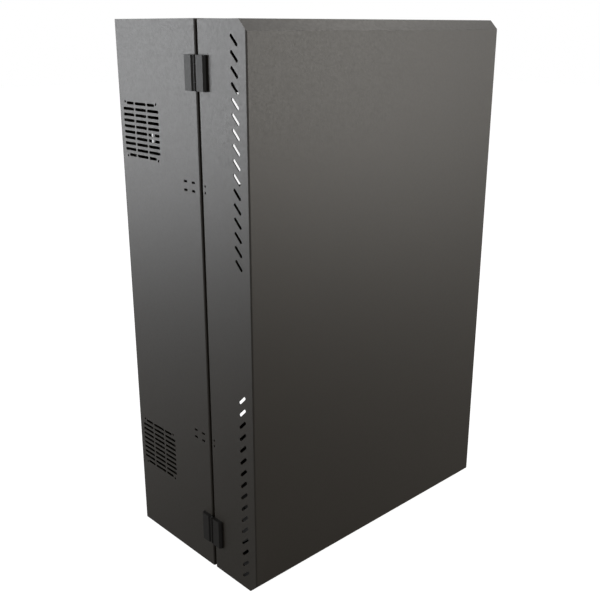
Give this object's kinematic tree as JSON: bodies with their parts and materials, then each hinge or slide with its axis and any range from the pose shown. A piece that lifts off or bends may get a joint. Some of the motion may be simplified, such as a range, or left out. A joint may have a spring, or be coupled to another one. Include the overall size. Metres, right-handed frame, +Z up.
{
  "type": "wall mount network cabinet",
  "caption": "Low-profile steel wall cabinet: deep chamfered door on side hinges, diagonal vents, slotted fan grilles, draw latches and rails that hold equipment on edge.",
  "frame": {"origin": "middle of the bottom face of the case, at half its depth", "axes": "+Z up, +Y towards the wall, +X to the latch side, the hinges on the -X side"},
  "size_m": [0.7533, 0.392, 1.092],
  "materials": {
    "black_powder_coat": "fine textured black powder coat",
    "hinge_black": "satin black, a little smoother and greyer than the case",
    "hinge_pin_steel": "dark steel",
    "zinc_steel": "bright zinc plate",
    "latch_steel": "nickel plate",
    "grommet_rubber": "matt black rubber",
    "gasket_foam": "matt black foam strip"
  },
  "bodies": {
    "cabinet": {"top_panel": "black_powder_coat", "bottom_panel": "black_powder_coat", "rear_panel": "black_powder_coat", "side_panel_left": "black_powder_coat", "side_panel_right": "black_powder_coat", "wall_bar_left": "black_powder_coat", "wall_bar_right": "black_powder_coat", "cable_cover_top": "black_powder_coat", "cable_cover_bottom": "black_powder_coat", "grommets_top": "grommet_rubber", "grommets_bottom": "grommet_rubber", "cover_studs_top": "zinc_steel", "cover_studs_bottom": "zinc_steel", "cover_nuts_top": "zinc_steel", "cover_nuts_bottom": "zinc_steel", "hat_channel_left": "black_powder_coat", "hat_channel_right": "black_powder_coat", "rail_upper_left": "black_powder_coat", "rail_upper_right": "black_powder_coat", "rail_lower_left": "black_powder_coat", "rail_lower_right": "black_powder_coat", "rail_bracket_upper_left": "black_powder_coat", "rail_bracket_upper_right": "black_powder_coat", "rail_bracket_lower_left": "black_powder_coat", "rail_bracket_lower_right": "black_powder_coat", "rail_bolts": "zinc_steel", "rail_nuts": "zinc_steel", "earth_stud": "zinc_steel", "earth_nuts": "zinc_steel", "earth_washers": "zinc_steel", "hinge_body_leaf_upper": "hinge_black", "hinge_body_leaf_lower": "hinge_black", "hinge_pin_upper": "hinge_pin_steel", "hinge_pin_lower": "hinge_pin_steel", "hinge_nuts_body": "zinc_steel", "latch_base_upper": "latch_steel", "latch_base_lower": "latch_steel", "latch_pin_upper": "latch_steel", "latch_pin_lower": "latch_steel", "latch_screws": "zinc_steel", "latch_nuts": "zinc_steel"},
    "door": {"door_skin": "black_powder_coat", "door_cap_top": "black_powder_coat", "door_cap_bottom": "black_powder_coat", "door_gasket": "gasket_foam", "door_stiffener_left": "black_powder_coat", "door_stiffener_right": "black_powder_coat", "hinge_door_leaf_upper": "hinge_black", "hinge_door_leaf_lower": "hinge_black", "hinge_nuts_door": "zinc_steel", "keeper_upper": "latch_steel", "keeper_lower": "latch_steel", "keeper_screws": "zinc_steel", "keeper_nuts": "zinc_steel"},
    "upper_lever": {"latch_lever_upper": "latch_steel"},
    "upper_bail": {"latch_bail_upper": "latch_steel"},
    "lower_lever": {"latch_lever_lower": "latch_steel"},
    "lower_bail": {"latch_bail_lower": "latch_steel"}
  },
  "joints": [
    {"name": "door_hinge", "type": "hinge", "parent": "cabinet", "child": "door", "pos_m": [-0.3525, -0.0614, 0.546], "axis": [0, 0, -1], "range_deg": [0, 120]},
    {"name": "upper_lever_pivot", "type": "hinge", "parent": "cabinet", "child": "upper_lever", "pos_m": [0.356, -0.049, 0.7998], "axis": [0, 0, 1], "range_deg": [0, 120]},
    {"name": "upper_bail_pivot", "type": "hinge", "parent": "upper_lever", "child": "upper_bail", "pos_m": [0.3654, -0.05242, 0.7998], "axis": [0, 0, 1], "range_deg": [-150, 0]},
    {"name": "lower_lever_pivot", "type": "hinge", "parent": "cabinet", "child": "lower_lever", "pos_m": [0.356, -0.049, 0.2922], "axis": [0, 0, 1], "range_deg": [0, 120]},
    {"name": "lower_bail_pivot", "type": "hinge", "parent": "lower_lever", "child": "lower_bail", "pos_m": [0.3654, -0.05242, 0.2922], "axis": [0, 0, 1], "range_deg": [-150, 0]}
  ],
  "couplings": [
    {"joint": "upper_bail_pivot", "follows": "upper_lever_pivot", "ratio": -1.25},
    {"joint": "lower_bail_pivot", "follows": "lower_lever_pivot", "ratio": -1.25}
  ]
}
